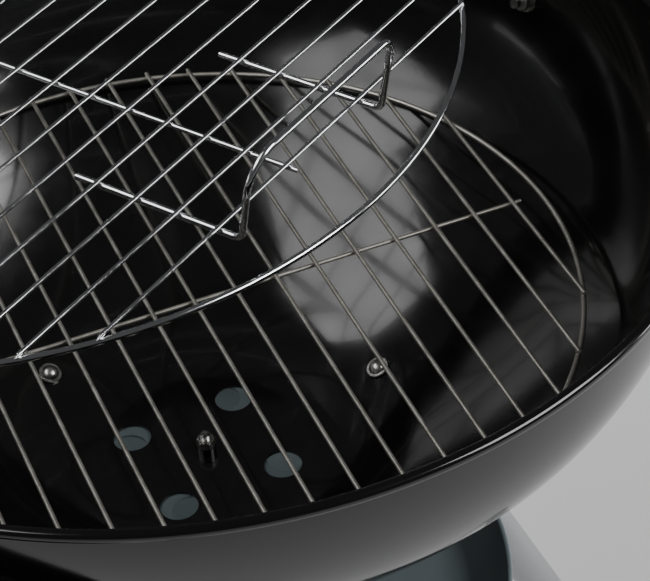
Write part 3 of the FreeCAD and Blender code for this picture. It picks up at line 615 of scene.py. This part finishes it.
# === Charcoal grate ===================================================================================
# Straight rods of plain drawn steel wire, spot-welded on top of a wire ring and on one cross wire. It
# rests on the bowl's sloping wall, dull and a little yellowed by heat.
wire_steel = surface("plain drawn wire", (0.56, 0.545, 0.50), 0.42, metallic=0.9, swing=0.25, patch=60.0,
                     grain=1600.0, depth=0.03, tint=(0.44, 0.42, 0.37), wear=(0.12, 0.10, 0.08),
                     wear_amount=0.5)


def rod_rows_recipe():
    """Rods along Y spread along X, each as long as its chord of a ring, with a weld at each end."""
    recipe = Recipe("rods across a ring")
    names = ("Pitch", "Shift", "Ring Radius", "Overhang", "Uneven", "Wire Radius", "Weld Radius")
    pitch, shift, ring_r, overhang, uneven, wire_r, weld_r = [recipe.size(n) for n in names]
    count = recipe.size("Count", "Int")
    points = recipe.add("GeometryNodePoints", {0: count})
    index = recipe.add("GeometryNodeInputIndex")
    middle = recipe.maths("DIVIDE", recipe.maths("SUBTRACT", count, 1), 2)
    x = recipe.maths("MULTIPLY_ADD", recipe.maths("SUBTRACT", index, middle), pitch)
    recipe.tree.links.new(shift, x.node.inputs[2])
    chord = recipe.maths("SQRT", recipe.maths("SUBTRACT", recipe.maths("MULTIPLY", ring_r, ring_r),
                                              recipe.maths("MULTIPLY", x, x)))
    least = recipe.maths("MULTIPLY", uneven, -1.0)
    slip = recipe.add("FunctionNodeRandomValue", {2: least, 3: uneven, "Seed": 7}, out=1)
    place = recipe.add("GeometryNodeSetPosition", {0: points, "Position": recipe.vector(x, slip, 0.0)})
    half = recipe.maths("ADD", chord, overhang)
    rod = recipe.add("GeometryNodeCurvePrimitiveLine", {0: (0.0, -1.0, 0.0), 1: (0.0, 1.0, 0.0)})
    rods = recipe.add("GeometryNodeInstanceOnPoints", {"Points": place, "Instance": rod,
                                                       "Scale": recipe.vector(1.0, half, 1.0)})
    real = recipe.add("GeometryNodeRealizeInstances", {0: rods})
    outline = recipe.add("GeometryNodeCurvePrimitiveCircle", {"Resolution": 14, "Radius": wire_r})
    solid = recipe.add("GeometryNodeCurveToMesh", {"Curve": real, "Profile Curve": outline,
                                                   "Fill Caps": True})
    nugget = recipe.add("GeometryNodeMeshIcoSphere", {"Radius": 1.0, "Subdivisions": 2})
    parts = [solid]
    for side in (-1.0, 1.0):
        down = recipe.maths("MULTIPLY", wire_r, -0.95)
        at = recipe.vector(x, recipe.maths("MULTIPLY", chord, side), down)
        spots = recipe.add("GeometryNodeSetPosition", {0: points, "Position": at})
        long, high = recipe.maths("MULTIPLY", weld_r, 1.25), recipe.maths("MULTIPLY", weld_r, 0.7)
        flat = recipe.vector(weld_r, long, high)
        parts.append(recipe.add("GeometryNodeInstanceOnPoints", {"Points": spots, "Instance": nugget,
                                                                 "Scale": flat}))
    join = recipe.tree.nodes.new("GeometryNodeJoinGeometry")
    for part in reversed(parts):
        recipe.tree.links.new(part, join.inputs[0])
    return recipe.close(join.outputs[0])


def wire_recipe():
    """Round wire along the mesh's edges, each corner bent to its own radius."""
    recipe = Recipe("wire along a path")
    path = recipe.add("GeometryNodeMeshToCurve", {0: recipe.start.outputs["Geometry"]})
    bend_r = recipe.add("GeometryNodeInputNamedAttribute", {0: "bend"}, data_type="FLOAT")
    bent = recipe.add("GeometryNodeFilletCurve", {0: path, "Radius": bend_r, "Count": 10}, mode="POLY")
    outline = recipe.add("GeometryNodeCurvePrimitiveCircle", {"Resolution": 18,
                                                              "Radius": recipe.size("Wire Radius")})
    solid = recipe.add("GeometryNodeCurveToMesh", {"Curve": bent, "Profile Curve": outline,
                                                   "Fill Caps": True})
    return recipe.close(solid)


ROD_ROWS, WIRE = rod_rows_recipe(), wire_recipe()


def wire(name, points, bends, radius, finish, closed=False):
    """A wire through the points, with a bend radius at each inner corner."""
    mesh = bpy.data.meshes.new(name)
    edges = [(i, i + 1) for i in range(len(points) - 1)]
    if closed:
        edges.append((len(points) - 1, 0))
    mesh.from_pydata(points, edges, [])
    stored = mesh.attributes.new("bend", "FLOAT", "POINT")
    values = bends if closed else [0.0] + list(bends) + [0.0]
    stored.data.foreach_set("value", values)
    return cooked(name, WIRE, mesh, **{"Wire Radius": radius, "Finish": finish})


def ring_wire(name, centre, radius, wire_r, finish):
    """A closed ring of round wire."""
    angles = [2 * math.pi * i / RING_STEPS for i in range(RING_STEPS)]
    points = [centre + Vector((radius * math.cos(a), radius * math.sin(a), 0)) for a in angles]
    return wire(name, points, [0.0] * RING_STEPS, wire_r, finish, closed=True)


def ring_of(node, wire_r):
    """(centre, radius of the wire's middle) of a ring in the frame."""
    low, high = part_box(node)
    return (low + high) / 2, (high.x - low.x) / 2 - wire_r


RING_STEPS = 160
WELD_R = 1.5 * MM
CROSS_OVERHANG = 6 * MM
COAL_RING_WIRE = 1.5 * MM
COAL_ROD_WIRE = 1.25 * MM
COAL_TURN = Matrix.Rotation(math.radians(-5), 4, "Z")
COAL_RODS = 18
COAL_PITCH = 24 * MM
COAL_OVERHANG = 1.6 * MM
COAL_UNEVEN = 0.4 * MM
coal_centre, coal_r = ring_of("charcoal_grate_ring", COAL_RING_WIRE)
coal_ring = ring_wire("charcoal_ring", coal_centre, coal_r, COAL_RING_WIRE, wire_steel)
replace(coal_ring, "charcoal_grate", "plain_steel_wire", "charcoal_grate_ring")
coal_rods = cooked("charcoal_rods", ROD_ROWS, **{
    "Count": COAL_RODS, "Pitch": COAL_PITCH, "Shift": 0.0, "Ring Radius": coal_r, "Overhang": COAL_OVERHANG,
    "Uneven": COAL_UNEVEN, "Wire Radius": COAL_ROD_WIRE, "Weld Radius": WELD_R, "Finish": wire_steel})
coal_z = (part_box("charcoal_grate_rods")[0].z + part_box("charcoal_grate_rods")[1].z) / 2
coal_place = Matrix.Translation((coal_centre.x, coal_centre.y, coal_z)) @ COAL_TURN
replace(moved(coal_rods, coal_place), "charcoal_grate", "plain_steel_wire", "charcoal_grate_rods")
cross_half = (COAL_RODS - 1) / 2 * COAL_PITCH + CROSS_OVERHANG
cross_points = [coal_place @ Vector((s * cross_half, 0, -2 * COAL_ROD_WIRE)) for s in (-1, 1)]
coal_cross = wire("charcoal_cross", cross_points, [], COAL_ROD_WIRE, wire_steel)
replace(coal_cross, "charcoal_grate", "plain_steel_wire", "charcoal_grate_cross_wire")

# === Cooking grate ====================================================================================
# Rods spot-welded on top of a thicker ring and a cross wire, with two lifting handles bent from wire
# whose tails run on under the rods. The whole grate is nickel and chrome plated. It lies on the rim.
COOK_RING_WIRE = 1.75 * MM
COOK_ROD_WIRE = 1.2 * MM
COOK_TURN = Matrix.Rotation(math.radians(-61.5), 4, "Z")
COOK_RODS = 18
COOK_PITCH = 25.3 * MM
COOK_ROD_SHIFT = 3.9 * MM
COOK_WIRE_SHIFT = -5.9 * MM
COOK_GRIP_WIRE = 1.9 * MM
COOK_CROSS_WIRE = 1.5 * MM
GRIP_SHIFT = -2.5 * MM
TAIL_OFFSET = 62.3 * MM
TAIL_IN, TAIL_OUT = 128 * MM, 232 * MM
GRIP_HEIGHT, GRIP_LEAN = 49 * MM, 10 * MM
GRIP_BENDS = (6 * MM, 20 * MM, 11 * MM, 6 * MM)
chrome = surface("bright plating", (0.80, 0.81, 0.82), 0.10, metallic=1.0, swing=0.4, patch=70.0,
                 grain=1400.0, depth=0.004, tint=(0.70, 0.71, 0.72), wear=(0.45, 0.43, 0.40), wear_amount=0.3)
cook_centre, cook_r = ring_of("cooking_grate_ring", COOK_RING_WIRE)
cook_place = Matrix.Translation(cook_centre) @ COOK_TURN
cook_up = COOK_RING_WIRE + COOK_ROD_WIRE
cook_ring = ring_wire("cooking_ring", cook_centre, cook_r, COOK_RING_WIRE, chrome)
replace(cook_ring, "cooking_grate", "chrome_wire", "cooking_grate_ring")
cook_rods = cooked("cooking_rods", ROD_ROWS, **{
    "Count": COOK_RODS, "Pitch": COOK_PITCH, "Shift": COOK_ROD_SHIFT, "Ring Radius": cook_r, "Overhang": 0.0,
    "Uneven": 0.0, "Wire Radius": COOK_ROD_WIRE, "Weld Radius": WELD_R, "Finish": chrome})
replace(moved(cook_rods, cook_place @ Matrix.Translation((0, 0, cook_up))), "cooking_grate", "chrome_wire",
        "cooking_grate_rods")
cook_half = (COOK_RODS - 1) / 2 * COOK_PITCH + CROSS_OVERHANG
cook_under = COOK_RING_WIRE - COOK_CROSS_WIRE
tail_z = COOK_RING_WIRE - COOK_GRIP_WIRE
cook_ends = [cook_place @ Vector((COOK_ROD_SHIFT + s * cook_half, COOK_WIRE_SHIFT, cook_under))
             for s in (-1, 1)]
cook_cross = wire("cooking_cross", cook_ends, [], COOK_CROSS_WIRE, chrome)
replace(cook_cross, "cooking_grate", "chrome_wire", "cooking_grate_cross_wire")
grips = []
for side in (1, -1):
    out = TAIL_OUT if side > 0 else TAIL_OUT - 2 * COOK_ROD_SHIFT
    near, far = GRIP_SHIFT - TAIL_OFFSET, GRIP_SHIFT + TAIL_OFFSET
    corners = [(TAIL_IN, near, 0), (out, near, 0), (out + GRIP_LEAN, near, GRIP_HEIGHT),
               (out + GRIP_LEAN, far, GRIP_HEIGHT), (out, far, 0), (TAIL_IN, far, 0)]
    path = [cook_place @ Vector((side * x, y, z + tail_z)) for x, y, z in corners]
    grips.append(wire("handle_wire", path, GRIP_BENDS, COOK_GRIP_WIRE, chrome))
replace(joined("cooking_grips", grips), "cooking_grate", "chrome_wire", "cooking_grate_handles")

# === Side handles =====================================================================================
# Two bent steel rods, each with a round pad and a threaded stud at both feet, put through the bowl and
# held inside by washers and nuts. A ribbed nylon sleeve on each rod keeps the hand from the heat.
HANDLE_DEGREES = (16, -16, 164, 196)
HANDLE_Z = 655 * MM
SLEEVE_R, SLEEVE_BORE_R = 12 * MM, 4.05 * MM
SLEEVE_CHAMFER, SLEEVE_TAPER = 1.2 * MM, 4 * MM
FINGER_RIBS, FINGER_RIB_H = 9, 0.45 * MM
bright_rod = surface("nickel-plated rod", (0.62, 0.62, 0.61), 0.20, metallic=1.0, swing=0.3, patch=40.0,
                     grain=900.0, depth=0.02, tint=(0.52, 0.52, 0.50), wear=(0.30, 0.28, 0.25),
                     wear_amount=0.4)


def ribbed_grip(name, node, along, finish):
    """A sleeve with shallow finger ribs, in place of the plain one of the frame."""
    low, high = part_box(node)
    centre, length = (low + high) / 2, high.y - low.y
    end, ribbed = length / 2, length - 2 * SLEEVE_TAPER
    ending = [(SLEEVE_R - SLEEVE_CHAMFER, end - SLEEVE_CHAMFER), (SLEEVE_R - SLEEVE_TAPER, end),
              (SLEEVE_BORE_R, end)]
    outline = [(r, -z) for r, z in reversed(ending)]
    steps = 72
    for i in range(steps + 1):
        t = i / steps
        rib = FINGER_RIB_H * (1 - math.cos(2 * math.pi * t * FINGER_RIBS))
        outline.append((SLEEVE_R - rib, (t - 0.5) * ribbed))
    outline += ending
    return lathe(name, outline, facing(centre, along), finish, ends="joined", segments=64)


handle_places = wall_places(BOWL_CURVE, HANDLE_DEGREES, WASHER_LIFT, height=HANDLE_Z)
rings = set_out("handle_rings", flat_washer(WASHER_R, THREAD_R, WASHER_T), handle_places, zinc)
replace(rings, "grill", "zinc_fasteners", "handle_washers")
nut_places = wall_places(BOWL_CURVE, HANDLE_DEGREES, WASHER_LIFT + WASHER_T, height=HANDLE_Z)
nuts = set_out("handle_hex_nuts", hex_nut(), nut_places, zinc)
replace(nuts, "grill", "zinc_fasteners", "handle_nuts")
for side in ("right", "left"):
    finished(side + "_handle", bright_rod)
    grip = ribbed_grip(side + "_ribbed_grip", side + "_grip", (0, 1, 0), plastic)
    replace(grip, "grill", "black_plastic", side + "_grip")

# === Lid ==============================================================================================
# A dome pressed and enamelled like the bowl, with the same rolled edge and four vent holes at its crown.
# A steel hook inside hangs it on the left handle, beside the bowl.
LID_TILT = math.radians(20)
LID_HEIGHT = 190 * MM
LID_CURVE = [(62 * MM, 0.0), (200 * MM, 48 * MM), (262 * MM, 122 * MM), (BEAD_RING_R - BEAD_R, LID_HEIGHT)]
LID_HOOK_X, LID_HOOK_Z = 235 * MM, -16 * MM
LID_VENT_R, LID_VENT_RING_R = 8 * MM, 33 * MM
grip_low, grip_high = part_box("left_grip")
lid_up = Vector((-math.sin(LID_TILT), 0, math.cos(LID_TILT)))
lid_out = Vector((-math.cos(LID_TILT), 0, -math.sin(LID_TILT)))
lid_centre = (grip_low + grip_high) / 2 - lid_up * LID_HOOK_X - lid_out * LID_HOOK_Z
side_way = lid_out.cross(lid_up)
lid_place = Matrix((lid_up, side_way, lid_out)).transposed().to_4x4()
lid_place.translation = lid_centre
upside = Matrix.Translation((0, 0, LID_HEIGHT)) @ Matrix.Rotation(math.pi, 4, "X")
dome = pressed_shell("lid_dome", LID_CURVE, lid_place @ upside, LID_VENT_R, LID_VENT_RING_R, 0, enamel)
replace(dome, "lid", "black_enamel", "lid")
finished("lid_hook", zinc)

# === Lid damper, rivet, handle ========================================================================
# A thin metal disc with matching holes and a finger tab turns on a rivet at the crown. The handle is a
# bent rod with a ribbed nylon sleeve, held by washers and nuts inside the dome.
finished("lid_damper", tube_paint)
finished("lid_damper_rivet", zinc)
finished("lid_handle", bright_rod)
finished("lid_handle_washers", zinc)
finished("lid_handle_nuts", zinc)
lid_grip = ribbed_grip("lid_ribbed_grip", "lid_grip", (0, 1, 0), plastic)
replace(lid_grip, "lid", "black_plastic", "lid_grip")

# === Studio ===========================================================================================
# A plain pale floor and a pale backdrop, a wide soft box high on the left and three more round the grill,
# and a long lens that looks down into the bowl.
FLOOR_HALF = 14.0
FLOOR_GREY = 0.86
ROOM_LIGHT, BACKDROP_LIGHT = 0.07, 0.60
floor_mesh = bpy.data.meshes.new("floor")
floor_corners = [(x * FLOOR_HALF, y * FLOOR_HALF, 0) for x, y in ((-1, -1), (1, -1), (1, 1), (-1, 1))]
floor_mesh.from_pydata(floor_corners, [], [(0, 1, 2, 3)])
pale = bpy.data.materials.new("pale floor")
pale.use_nodes = True
pale_shader = pale.node_tree.nodes["Principled BSDF"]
pale_shader.inputs["Base Color"].default_value = (FLOOR_GREY, FLOOR_GREY, FLOOR_GREY, 1)
pale_shader.inputs["Roughness"].default_value = 0.9
linked("studio_floor", floor_mesh, pale)

world = bpy.data.worlds.new("studio")
bpy.context.scene.world = world
world.use_nodes = True
sky = world.node_tree.nodes["Background"]
sky.inputs["Color"].default_value = (0.97, 0.98, 1.0, 1)
seen = world.node_tree.nodes.new("ShaderNodeLightPath")
level = world.node_tree.nodes.new("ShaderNodeMapRange")
level.inputs["To Min"].default_value = ROOM_LIGHT
level.inputs["To Max"].default_value = BACKDROP_LIGHT
world.node_tree.links.new(seen.outputs["Is Camera Ray"], level.inputs["Value"])
world.node_tree.links.new(level.outputs["Result"], sky.inputs["Strength"])


def soft_box(name, place, target, width, height, power):
    """A rectangular lamp at a place, turned to face a target."""
    lamp = bpy.data.lights.new(name, "AREA")
    lamp.shape, lamp.size, lamp.size_y, lamp.energy = "RECTANGLE", width, height, power
    holder = bpy.data.objects.new(name, lamp)
    bpy.context.scene.collection.objects.link(holder)
    holder.location = place
    holder.rotation_euler = (Vector(target) - Vector(place)).to_track_quat("-Z", "Y").to_euler()


bowl_middle, leg_middle = AXIS + UP * 0.6, AXIS + UP * 0.4
soft_box("window box", AXIS + Vector((-1.82, 0.58, 3.2)), bowl_middle, 3.0, 1.5, 58)
soft_box("front box", AXIS + Vector((2.3, -2.1, 3.0)), bowl_middle, 2.0, 1.6, 100)
soft_box("right box", AXIS + Vector((2.7, -0.6, 0.9)), leg_middle, 1.4, 0.6, 22)
soft_box("left box", AXIS + Vector((-2.4, 1.4, 0.9)), leg_middle, 1.4, 0.6, 5)

EYE = AXIS + Vector((-0.3578, -0.9847, 1.4579))
LOOK = Vector((0.3162, 0.7031, -0.6369)).normalized()
ACROSS = Vector((0.8866, -0.4580, -0.0656)).normalized()
SENSOR_WIDTH, FOCAL_LENGTH = 36.0, 137.4
LENS_SHIFT = (-0.0052, -0.0018)
lens = bpy.data.cameras.new("long lens")
lens.sensor_width, lens.lens = SENSOR_WIDTH, FOCAL_LENGTH
lens.shift_x, lens.shift_y = LENS_SHIFT
camera = bpy.data.objects.new("camera", lens)
bpy.context.scene.collection.objects.link(camera)
turn = Matrix((ACROSS, ACROSS.cross(LOOK), -LOOK)).transposed()
camera.matrix_world = Matrix.Translation(EYE) @ turn.to_4x4()
bpy.context.scene.camera = camera
